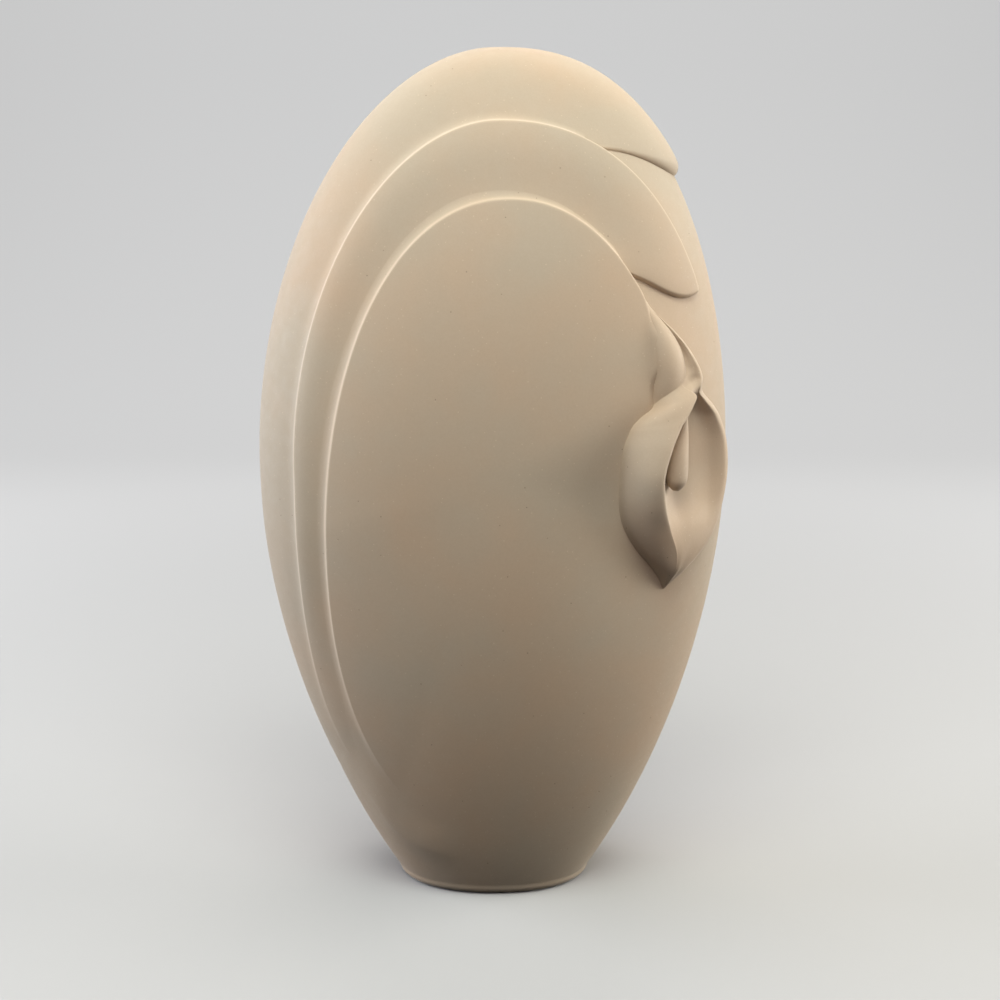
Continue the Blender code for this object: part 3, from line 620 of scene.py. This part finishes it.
def wrap_angle(clock):
    """How far round the rim the outer leaf goes. Beside the mouth it stays in front of the lip."""
    off_mouth = np.abs(clock - math.pi / 2)
    return LIP_WRAP + (LEAF_WRAP - LIP_WRAP) * ease(off_mouth, MOUTH_CLOCK, LIP_END_CLOCK)


def tip_share(clock, tip):
    """1 at a leaf's tip, down to 0 at the tip's reach from it."""
    return 1 - ease(clock, tip["clock"], tip["clock"] + tip["reach"])


def outer_lift(clock, distance, ridge, rim):
    """Lift of the outer leaf: a valley beside the outer ridge, rising towards the rim."""
    share = np.clip((distance - ridge) / (rim - ridge), 0, 1)
    near_tip = tip_share(clock, OUTER_TIP)
    full = RIM_LIFT + (TIP_LIFT - RIM_LIFT) * near_tip
    return (VALLEY_LIFT + (full - VALLEY_LIFT) * ease(share, 0, 1) ** (1 + 0.8 * near_tip)) * fade(clock)


def tip_end(tip, share):
    """Clock angle at which a leaf's tip ends, for a share of its width from its inner edge."""
    return tip["clock"] + tip["spread"] * (1 - np.clip(share, 0, 1)) ** tip["power"]


def run_up_width(clock):
    """Width of the hollow beside a ridge, which narrows on the vase's right."""
    return NARROW_RUN_UP + (RUN_UP - NARROW_RUN_UP) * ease(np.degrees(clock), *RUN_UP_WIDENS)


def beside_neck(clock):
    """1 where the front leaf's edge runs softly beside the lily's neck, 0 above it."""
    return 1 - ease(np.degrees(clock), *NECK_ENDS)


def climb(clock, distance, ridge, outside, crest):
    """The hollow that runs up to a ridge's crest from outside, carried on upwards beyond the crest."""
    run_up = np.clip(1 - (distance - ridge) / run_up_width(clock), 0, 1) ** RUN_UP_POWER
    return outside + (crest - outside) * run_up + np.maximum(ridge - distance, 0)


def middle_lift(clock, distance, outer, inner, rim):
    """Lift of the middle leaf: up from the valley to the outer ridge, and down to the inner one."""
    height = (RIDGE_LIFT - VALLEY_LIFT) * fade(clock)
    crest = VALLEY_LIFT * fade(clock) + height
    near_tip = tip_share(clock, MIDDLE_TIP)
    crest = crest + (MIDDLE_TIP_LIFT - RIDGE_LIFT) * near_tip
    outside = outer_lift(clock, np.maximum(distance, outer), outer, rim)
    end = tip_end(OUTER_TIP, (distance - outer) / (rim - outer))
    outside = outside * ease(clock, *(end + np.radians(past) for past in PAST_OUTER_TIP))
    climbing = climb(clock, distance, outer, outside, crest)
    share = np.clip((outer - distance) / (outer - inner), 0, 1)
    valley = VALLEY_LIFT * fade(clock) * (1 - near_tip) + 0.8 * crest * near_tip
    falling = crest + CREST_MARGIN * fade(clock) - (crest - valley) * ease(share, 0.08, 1)
    return smooth_min(climbing, falling, CREST_ROUNDING)


def panel_raised(clock):
    """1 where the front leaf's crest stands at its full height, down to 0 where the leaf dissolves."""
    return np.where(clock > math.pi / 2, fade(clock, PANEL_TAIL_CLOCK), ease(np.degrees(clock), *PANEL_RISES))


def beside_stem(x, z):
    """The front leaf's small rise against the left side of the lily's stem."""
    foot = oval_point(np.full_like(z, STEM_RISE["turn"]), z)[..., 0]
    along = ease(z, *STEM_RISE["bottom"]) * (1 - ease(z, *STEM_RISE["top"]))
    off_middle = (x - foot - STEM_RISE["inside"]) / STEM_RISE["width"]
    return STEM_RISE["lift"] * np.exp(-off_middle ** 2) * along


def inner_lift(clock, distance, outer, inner, rim):
    """Lift of the front leaf: up to the inner ridge on the upper left, out to nothing on the lower right."""
    raised = panel_raised(clock)
    middle_tip = math.degrees(MIDDLE_TIP["clock"])
    past_middle = ease(np.degrees(clock), *(middle_tip + past for past in PAST_MIDDLE_TIP))
    outside = middle_lift(np.maximum(clock, MIDDLE_TIP["clock"]), distance, outer, inner, rim) * past_middle
    at_ridge = middle_lift(clock, inner, outer, inner, rim) * past_middle
    outside = np.where(distance < inner, at_ridge, outside)
    crest = RIDGE_LIFT * raised
    climbing = climb(clock, distance - NECK_RUN_OUT * beside_neck(clock), inner, outside, crest)
    share = np.clip(distance / inner, 0, 1)
    across = PANEL_LIFT + (crest + CREST_MARGIN * raised - PANEL_LIFT) * ease(share, 0.1, 1.0)
    return smooth_min(climbing, across, CREST_ROUNDING + NECK_ROUNDING * beside_neck(clock))


def crest_highlight_and_wear(distance, ridge):
    """Where a crest's sharpest run is, for its paler colour, partly painted highlight and partly worn clay.
    """
    return np.exp(-((distance - ridge - HIGHLIGHT_AND_WEAR_OFFSET) / HIGHLIGHT_AND_WEAR_WIDTH) ** 2)


def leaf_clocks(tip, across):
    """Clock angles along a leaf for each place across it, from its tail to its slanting tip."""
    fine_degrees = 4
    along = np.linspace(0, 1, LEAF_STATIONS)
    end_rows = np.radians(fine_degrees * (1 - np.linspace(0, 1, TIP_STATIONS)) ** 2)
    end = tip_end(tip, across)
    body = TAIL_CLOCK + (end[:, None] + math.radians(fine_degrees) - TAIL_CLOCK) * along
    return np.concatenate([body, end[:, None] + end_rows[1:]], axis=1), end


def leaf_piece(name, base, normals, lift, material, highlight_and_wear):
    """A leaf from its face, lifted off the core, to its hidden side, sunk into what carries it."""
    return sheet_piece(name, base + normals * lift[..., None], base - normals * SUNK, material, highlight_and_wear)


def tail_dip(clock):
    """Takes a leaf's tail under the body's surface at a grazing angle."""
    return TAIL_DIP["depth"] * ease(clock, TAIL_CLOCK - TAIL_DIP["run"], TAIL_CLOCK)


def make_outer_leaf(material):
    """The leaf that forms the rim. Across it, 0 is its edge under the outer ridge and 1 the rim itself."""
    front = np.linspace(0, 0.85, 44)
    round_rim = np.linspace(0.87, 1.4, 40)[:-1]
    back_edge = 1.4 + np.linspace(0, 0.04, 12)
    across = np.concatenate([front, round_rim, back_edge])
    clock, end = leaf_clocks(OUTER_TIP, across)
    ridge, rim = ridge_distance(OUTER_RIDGE, clock), rim_distance(clock)
    start = np.arccos(np.minimum(ridge - UNDER_RIDGE, rim - HIDDEN_TO_RIM) / rim)
    wrap = wrap_angle(clock)
    share = np.clip(across[:, None], 0, 1)
    beyond = (across[:, None] - 1).clip(0) / (across[-1] - 1)
    angle = start * (1 - share) - wrap * beyond
    distance = rim * np.cos(angle)
    base = on_face(clock, distance, angle < 0)
    lift = outer_lift(clock, distance, ridge, rim)
    to_tip = (clock - end[:, None]) * distance
    to_back = (wrap - np.abs(np.minimum(angle, 0))) * DEPTH["reach"]
    tip_rounding = tip_edge(to_tip, TIP_ROUNDING + RIM_TIP_ROUNDING * share)
    back_rounding = shoulder(np.where(angle < 0, to_back, EDGE_ROUNDING), EDGE_ROUNDING)
    lift = lift * (tip_rounding * back_rounding) - tail_dip(clock)
    # Paler colour along the tip's rounded edge: partly painted highlight, partly worn clay
    highlight_and_wear = TIP_HIGHLIGHT_AND_WEAR_SHARE * np.exp(-((to_tip - EDGE_ROUNDING / 3) / TIP_HIGHLIGHT_AND_WEAR_WIDTH) ** 2)
    return leaf_piece("ware_outer_leaf", base, outward(base, closed=False), lift, material, highlight_and_wear)


def make_middle_leaf(material):
    """The leaf between the two ridges, with its free tip over the recessed body."""
    skirt = np.linspace(1, 0, 40) ** 1.3
    face = np.concatenate([np.linspace(0, 0.12, 14)[1:], np.linspace(0.12, 1, 40)[1:]])
    across = np.concatenate([np.ones_like(skirt), 1 - face])
    clock, end = leaf_clocks(MIDDLE_TIP, across)
    outer, inner = ridge_distance(OUTER_RIDGE, clock), panel_distance(clock)
    rim = rim_distance(clock)
    outside = np.concatenate([skirt, np.zeros_like(face)])[:, None] * (run_up_width(clock) + SKIRT)
    inwards = np.concatenate([np.zeros_like(skirt), face])[:, None] * (outer - inner + UNDER_RIDGE)
    distance = np.minimum(outer + outside - inwards, rim - LEAST_TO_RIM)
    base = on_face(clock, distance)
    lift = middle_lift(clock, distance, outer, inner, rim)
    edge = tip_edge((clock - end[:, None]) * distance, TIP_ROUNDING)
    past = np.clip((distance - outer - run_up_width(clock)) / SKIRT, 0, 1)
    lift = lift * edge - tail_dip(clock) - MIDDLE_SKIRT_DIP * past ** 2
    # Paler colour along the outer ridge's crest: partly painted highlight, partly worn clay
    highlight_and_wear = crest_highlight_and_wear(distance, outer) * fade(clock)
    return leaf_piece("ware_middle_leaf", base, outward(base, closed=False), lift, material, highlight_and_wear)


def make_inner_leaf(material):
    """The broad front leaf inside the inner ridge. Its lower right dissolves into the body."""
    start = PANEL_TAIL_CLOCK - 2 * math.pi
    clock = np.linspace(start, PANEL_TAIL_CLOCK, PANEL_COLUMNS, endpoint=False)[None, :]
    place = np.concatenate([np.linspace(0.03, 0.93, 46), np.linspace(0.94, 1.0, 24)])[:, None]
    beyond = np.linspace(0, 1, 34)[1:, None] ** 1.2
    ridge = panel_distance(clock)
    skirt = run_up_width(np.abs(clock)) + SKIRT
    distance = np.concatenate([ridge * place, ridge + skirt * beyond])
    clock = clock + 0 * distance
    inner, outer, rim = ridge + 0 * clock, ridge_distance(OUTER_RIDGE, clock), rim_distance(clock)
    distance = np.minimum(distance, rim - LEAST_TO_RIM)
    base = on_face(clock, distance)
    normals = outward(base, closed=True)
    lift = inner_lift(clock, distance, outer, inner, rim)
    past = np.clip((distance - inner) / skirt, 0, 1)
    lift = lift - INNER_SKIRT_DIP * past ** 3 + beside_stem(base[..., 0], base[..., 2])
    # Paler colour along the inner ridge's crest: partly painted highlight, partly worn clay
    highlight_and_wear = crest_highlight_and_wear(distance, inner) * panel_raised(clock) * ease(np.degrees(clock), *PANEL_HIGHLIGHT_AND_WEAR_STARTS)
    hidden = slice(None, None, 6)
    over = base + normals * lift[..., None]
    under = base[hidden] - normals[hidden] * SUNK
    rings = np.concatenate([over, under[::-1]])
    highlight_and_wear = np.concatenate([highlight_and_wear, 0 * highlight_and_wear[hidden]])
    return capped_tube("ware_inner_leaf", rings, material, highlight_and_wear)


# Lily

def between(start, end, share):
    """The value at a share of the way from start to end."""
    return start + share * (end - start)


def lily_guides(z, seat, fold, fold_lift, floor, floor_lift, rim, rim_lift, fullness):
    """Turns and lifts that one section runs through, from its left seat over fold and throat to its right."""
    far_seat = rim - min(6.5, 0.28 * abs(seat - rim))
    flank, brow = between(seat, fold, 0.2), between(seat, fold, 0.55)
    wall, bed = between(fold, floor, 0.1), between(fold, floor, 0.5)
    face, far_flank = between(floor, rim, 0.55), between(rim, far_seat, 0.6)
    face_share = 0.25 + 0.5 * ease(z, *FACE_FILLS)
    return [
        (seat, 0),
        (flank, (0.42 + 0.25 * fullness) * fold_lift),
        (brow, (0.83 + 0.13 * fullness) * fold_lift),
        (fold, fold_lift),
        (wall, between(floor_lift, fold_lift, 0.5)),
        (bed, floor_lift + 0.3),
        (floor, floor_lift),
        (face, between(floor_lift, rim_lift, face_share)),
        (rim, rim_lift),
        (far_flank, 0.7 * rim_lift),
        (far_seat, 0),
    ]


def lily_rings():
    """Closed rings of the lily's spathe, from its stem end down to its tip."""
    rings = []
    for values in run_through(LILY_SECTIONS, np.linspace(0, len(LILY_SECTIONS) - 1, SPATHE_RINGS)):
        z, *section_values, drop, fullness = values
        guides = lily_guides(z, *section_values, fullness)
        front = run_through(guides, np.linspace(0, len(guides) - 1, SPATHE_COLUMNS))
        near, far = guides[0][0], guides[-1][0]
        back = [(far, LILY_ROOT), ((near + far) / 2, LILY_ROOT), (near, LILY_ROOT)]
        turn, lift = np.concatenate([front, back]).T
        height = z - drop * np.clip(turn - CROSSING_TURN, 0, None)
        rings.append(lifted_point(np.radians(turn), height * MM, lift * MM))
    return rings


def make_spathe(material):
    """The lily's petal, rolled round its throat."""
    return capped_tube("ware_lily_spathe", lily_rings(), material)


def tapered_rod(name, path, material, flatness=1.0):
    """A rod along a smooth path of (height, turn, lift, radius), closed at both ends."""
    height, turn, lift, radius = run_through(path, np.linspace(0, len(path) - 1, ROD_RINGS)).T
    height, turn, lift, radius = height * MM, np.radians(turn), lift * MM, radius * MM
    middle = lifted_point(turn, height, lift)
    forward = np.gradient(middle, axis=0)
    forward /= np.linalg.norm(forward, axis=1, keepdims=True)
    side = np.cross(forward, core_normal(turn, height))
    side /= np.linalg.norm(side, axis=1, keepdims=True)
    front = np.cross(side, forward)
    angles = np.linspace(0, 2 * math.pi, ROD_COLUMNS, endpoint=False)[None, :, None]
    round_shape = side[:, None] * np.cos(angles) + flatness * front[:, None] * np.sin(angles)
    return capped_tube(name, middle[:, None] + radius[:, None, None] * round_shape, material)


# Materials

def new_material(name, settings):
    """A material, its node tree and its shader, with some of the shader's values set."""
    material = bpy.data.materials.new(name)
    material.use_nodes = True
    shader = material.node_tree.nodes["Principled BSDF"]
    for setting, value in settings.items():
        shader.inputs[setting].default_value = value
    return material, material.node_tree, shader


def remap(tree, value, low, high, to_low, to_high, kind="LINEAR"):
    """A value carried over from one range to another, and held inside it."""
    node = tree.nodes.new("ShaderNodeMapRange")
    node.interpolation_type = kind
    node.inputs["From Min"].default_value = low
    node.inputs["From Max"].default_value = high
    node.inputs["To Min"].default_value = to_low
    node.inputs["To Max"].default_value = to_high
    tree.links.new(value, node.inputs["Value"])
    return node.outputs["Result"]


def mix(tree, share, first, second):
    """Runs from the first colour to the second. Each is three values or another node's output."""
    node = tree.nodes.new("ShaderNodeMix")
    node.data_type = "RGBA"
    tree.links.new(share, node.inputs["Factor"])
    for value, socket in ((first, node.inputs["A"]), (second, node.inputs["B"])):
        if isinstance(value, tuple):
            socket.default_value = (*value, 1)
        else:
            tree.links.new(value, socket)
    return node.outputs["Result"]


def ceramic(name, colour):
    """Matt bisque: soft mottling, fine grain, tiny pale and dark specks, and a paler colour along the crests,
    partly painted highlight and partly worn clay.
    """
    matt = {"Metallic": 0, "Specular IOR Level": 0.35, "Sheen Weight": 0.12, "Sheen Roughness": 0.35}
    material, tree, shader = new_material(name, matt)
    place = tree.nodes.new("ShaderNodeTexCoord").outputs["Object"]

    def noise(size, detail):
        node = tree.nodes.new("ShaderNodeTexNoise")
        node.inputs["Scale"].default_value = 1 / size
        node.inputs["Detail"].default_value = detail
        tree.links.new(place, node.inputs["Vector"])
        return node.outputs["Fac"]

    def specks(spacing, share):
        node = tree.nodes.new("ShaderNodeTexVoronoi")
        node.inputs["Scale"].default_value = 1 / spacing
        tree.links.new(place, node.inputs["Vector"])
        return remap(tree, node.outputs["Distance"], share, share * SPECK_MIDDLE, 0, 1)

    def tinted(factors):
        return tuple(value * factor for value, factor in zip(colour, factors))

    def shade(factor):
        return tinted((factor,) * 3)

    mottling = remap(tree, noise(MOTTLE, 3), *MOTTLE_RANGE, 0, 1)
    tone = mix(tree, mottling, tinted(WARM_TINT), tinted(COOL_TINT))
    grain = remap(tree, noise(GRAIN, 4), *GRAIN_RANGE, 0, GRAIN_STRENGTH)
    tone = mix(tree, grain, tone, shade(GRAIN_SHADE))
    tone = mix(tree, specks(**PALE_SPECKS), tone, shade(PALE_SHADE))
    tone = mix(tree, specks(**DARK_SPECKS), tone, shade(DARK_SHADE))
    # The paler crest colour: partly painted highlight, partly worn clay
    crest = tree.nodes.new("ShaderNodeAttribute")
    crest.attribute_name = CREST_ATTRIBUTE
    highlight_and_wear = remap(tree, crest.outputs["Fac"], 0, 1, 0, HIGHLIGHT_AND_WEAR_STRENGTH)
    tone = mix(tree, highlight_and_wear, tone, shade(HIGHLIGHT_AND_WORN_SHADE))
    tree.links.new(tone, shader.inputs["Base Color"])
    roughness = remap(tree, noise(GLOSS_PATCH, 3), *GRAIN_RANGE, SMOOTHEST, ROUGHEST)
    tree.links.new(roughness, shader.inputs["Roughness"])

    bump = tree.nodes.new("ShaderNodeBump")
    bump.inputs["Strength"].default_value = FINE_GRAIN_STRENGTH
    bump.inputs["Distance"].default_value = FINE_GRAIN_DEPTH
    tree.links.new(noise(FINE_GRAIN, 5), bump.inputs["Height"])
    tree.links.new(bump.outputs["Normal"], shader.inputs["Normal"])
    return material


# Studio

def pale_paper():
    """Paper that shows a pale, even tone to the camera and throws little light back on the object."""
    matt = {"Roughness": 0.9, "Specular IOR Level": 0.1, "Emission Strength": 1}
    material, tree, shader = new_material("pale_paper", matt)
    ray = tree.nodes.new("ShaderNodeLightPath")
    either = tree.nodes.new("ShaderNodeMath")
    either.operation = "MAXIMUM"
    tree.links.new(ray.outputs["Is Camera Ray"], either.inputs[0])
    tree.links.new(ray.outputs["Is Glossy Ray"], either.inputs[1])
    seen = either.outputs["Value"]

    reach = tree.nodes.new("ShaderNodeVectorMath")
    reach.operation = "LENGTH"
    tree.links.new(tree.nodes.new("ShaderNodeTexCoord").outputs["Object"], reach.inputs[0])
    distant = remap(tree, reach.outputs["Value"], GLOW_STARTS, GLOW_FULL, 0, 1, "SMOOTHSTEP")

    paper = mix(tree, distant, (PAPER_TONE,) * 3, (PAPER_TONE * DISTANT_SHARE,) * 3)
    glow = mix(tree, distant, (0.0,) * 3, (GLOW,) * 3)
    tree.links.new(mix(tree, seen, (PAPER_LIT,) * 3, paper), shader.inputs["Base Color"])
    tree.links.new(mix(tree, seen, (0.0,) * 3, glow), shader.inputs["Emission Color"])
    return material


def make_stage():
    """A floor that curves up into a backdrop."""
    bend = [
        (STAGE_BACK + STAGE_BEND * math.sin(angle), STAGE_BEND * (1 - math.cos(angle)))
        for angle in np.linspace(0, math.pi / 2, 16)[1:]
    ]
    profile = [(STAGE_FRONT, 0.0), (STAGE_BACK, 0.0), *bend, (STAGE_BACK + STAGE_BEND, STAGE_TOP)]
    points = [(x, y, z) for y, z in profile for x in (-STAGE_HALF_WIDTH, STAGE_HALF_WIDTH)]
    starts = range(0, 2 * len(profile) - 2, 2)
    faces = [(start, start + 1, start + 3, start + 2) for start in starts]
    mesh = bpy.data.meshes.new("studio_floor")
    mesh.from_pydata(points, [], faces)
    mesh.polygons.foreach_set("use_smooth", [True] * len(faces))
    mesh.materials.append(pale_paper())
    floor = bpy.data.objects.new("studio_floor", mesh)
    bpy.context.scene.collection.objects.link(floor)


def soft_light(name, place, size, watts, colour):
    """A soft rectangular lamp that faces the middle of the vase."""
    data = bpy.data.lights.new(name, "AREA")
    data.shape = "RECTANGLE"
    data.size, data.size_y = size
    data.energy = watts
    data.color = colour
    lamp = bpy.data.objects.new(name, data)
    lamp.location = place
    lamp.rotation_euler = (Vector((0, 0, WIDEST_Z)) - Vector(place)).to_track_quat("-Z", "Y").to_euler()
    bpy.context.scene.collection.objects.link(lamp)


def make_world():
    """A faint fill, which shows as pale as the paper behind it."""
    world = bpy.data.worlds.new("studio")
    bpy.context.scene.world = world
    world.use_nodes = True
    tree = world.node_tree
    ray = tree.nodes.new("ShaderNodeLightPath")
    strength = remap(tree, ray.outputs["Is Camera Ray"], 0, 1, WORLD_FILL, WORLD_SHOWN)
    background = tree.nodes["Background"]
    background.inputs["Color"].default_value = (1, 1, 1, 1)
    tree.links.new(strength, background.inputs["Strength"])


def make_camera():
    """The camera, at the photograph's place and angle."""
    data = bpy.data.cameras.new("camera")
    data.angle = FIELD_OF_VIEW
    camera = bpy.data.objects.new("camera", data)
    camera.location = CAMERA_PLACE
    camera.rotation_euler = (math.pi / 2 - CAMERA_PITCH, 0, 0)
    bpy.context.scene.collection.objects.link(camera)
    bpy.context.scene.camera = camera


body_ware = ceramic("body_ceramic", BODY_COLOUR)
leaf_ware = ceramic("leaf_ceramic", LEAF_COLOUR)
lily_ware = ceramic("lily_ceramic", LILY_PAINTED_LIGHTER_COLOUR)
spadix_ware = ceramic("spadix_ceramic", SPADIX_PAINTED_SHADE_COLOUR)

dress(make_body(body_ware), ["vessel_body"])
dress(make_outer_leaf(leaf_ware), ["outer_leaf"])
dress(make_middle_leaf(leaf_ware), ["middle_leaf"])
dress(make_inner_leaf(leaf_ware), ["inner_leaf"])
dress(make_spathe(lily_ware), ["lily_spathe"])
dress(tapered_rod("ware_lily_stem", STEM_PATH, lily_ware, STEM_FLATNESS), ["lily_stem"])
dress(tapered_rod("ware_lily_spadix", SPADIX_PATH, spadix_ware), ["lily_spadix"])

make_stage()
for lamp_values in LAMPS:
    soft_light(*lamp_values)
make_world()
make_camera()
bpy.context.scene.view_settings.view_transform = "Standard"
